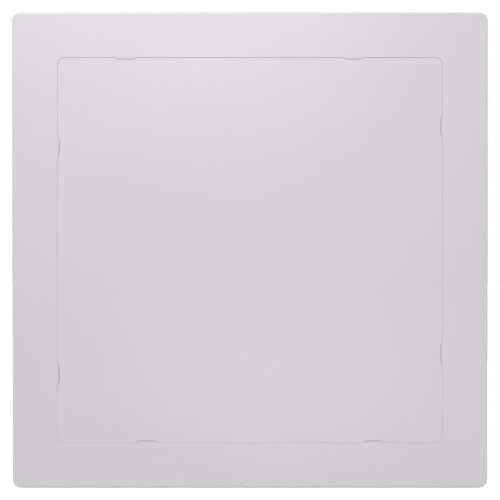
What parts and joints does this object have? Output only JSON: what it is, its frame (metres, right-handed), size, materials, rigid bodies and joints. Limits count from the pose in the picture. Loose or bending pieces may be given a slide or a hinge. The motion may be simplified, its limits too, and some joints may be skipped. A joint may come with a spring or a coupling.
{
  "type": "ceiling access panel",
  "caption": "Square white plastic access panel: a flange frame for a ceiling cut-out with a flush door that snaps in on spring hooks and pulls straight out.",
  "frame": {"origin": "middle of the panel on the ceiling surface, level with the back of the flange", "axes": "+Y goes into the ceiling void, so the face looks along -Y; +Z is the picture's up and +X its right. In a ceiling the part is turned so that -Y points down."},
  "size_m": [0.4, 0.025, 0.4],
  "materials": {
    "white_abs": "matte moulded white ABS with a fine even grain"
  },
  "bodies": {
    "frame": {"frame": "white_abs"},
    "door": {"door": "white_abs"},
    "snap_hook_top_left": {"snap_hook_top_left": "white_abs"},
    "snap_hook_top_right": {"snap_hook_top_right": "white_abs"},
    "snap_hook_right_upper": {"snap_hook_right_upper": "white_abs"},
    "snap_hook_right_lower": {"snap_hook_right_lower": "white_abs"},
    "snap_hook_bottom_right": {"snap_hook_bottom_right": "white_abs"},
    "snap_hook_bottom_left": {"snap_hook_bottom_left": "white_abs"},
    "snap_hook_left_lower": {"snap_hook_left_lower": "white_abs"},
    "snap_hook_left_upper": {"snap_hook_left_upper": "white_abs"}
  },
  "joints": [
    {"name": "door_pull", "type": "slide", "parent": "frame", "child": "door", "axis": [0, -1, 0], "range_m": [0, 0.12], "deforming": ["snap_hook_top_left", "snap_hook_top_right", "snap_hook_right_upper", "snap_hook_right_lower", "snap_hook_bottom_right", "snap_hook_bottom_left", "snap_hook_left_lower", "snap_hook_left_upper"]},
    {"name": "hook_bend_top_left", "type": "hinge", "parent": "door", "child": "snap_hook_top_left", "pos_m": [-0.104, -0.0025, 0.1577], "axis": [-1, 0, 0], "range_deg": [0, 8], "stiffness_Nm_per_rad": 1.6},
    {"name": "hook_bend_top_right", "type": "hinge", "parent": "door", "child": "snap_hook_top_right", "pos_m": [0.087, -0.0025, 0.1577], "axis": [-1, 0, 0], "range_deg": [0, 8], "stiffness_Nm_per_rad": 1.6},
    {"name": "hook_bend_right_upper", "type": "hinge", "parent": "door", "child": "snap_hook_right_upper", "pos_m": [0.1577, -0.0025, 0.104], "axis": [0, 0, 1], "range_deg": [0, 8], "stiffness_Nm_per_rad": 1.6},
    {"name": "hook_bend_right_lower", "type": "hinge", "parent": "door", "child": "snap_hook_right_lower", "pos_m": [0.1577, -0.0025, -0.087], "axis": [0, 0, 1], "range_deg": [0, 8], "stiffness_Nm_per_rad": 1.6},
    {"name": "hook_bend_bottom_right", "type": "hinge", "parent": "door", "child": "snap_hook_bottom_right", "pos_m": [0.104, -0.0025, -0.1577], "axis": [1, 0, 0], "range_deg": [0, 8], "stiffness_Nm_per_rad": 1.6},
    {"name": "hook_bend_bottom_left", "type": "hinge", "parent": "door", "child": "snap_hook_bottom_left", "pos_m": [-0.087, -0.0025, -0.1577], "axis": [1, 0, 0], "range_deg": [0, 8], "stiffness_Nm_per_rad": 1.6},
    {"name": "hook_bend_left_lower", "type": "hinge", "parent": "door", "child": "snap_hook_left_lower", "pos_m": [-0.1577, -0.0025, -0.104], "axis": [0, 0, -1], "range_deg": [0, 8], "stiffness_Nm_per_rad": 1.6},
    {"name": "hook_bend_left_upper", "type": "hinge", "parent": "door", "child": "snap_hook_left_upper", "pos_m": [-0.1577, -0.0025, 0.087], "axis": [0, 0, -1], "range_deg": [0, 8], "stiffness_Nm_per_rad": 1.6}
  ]
}
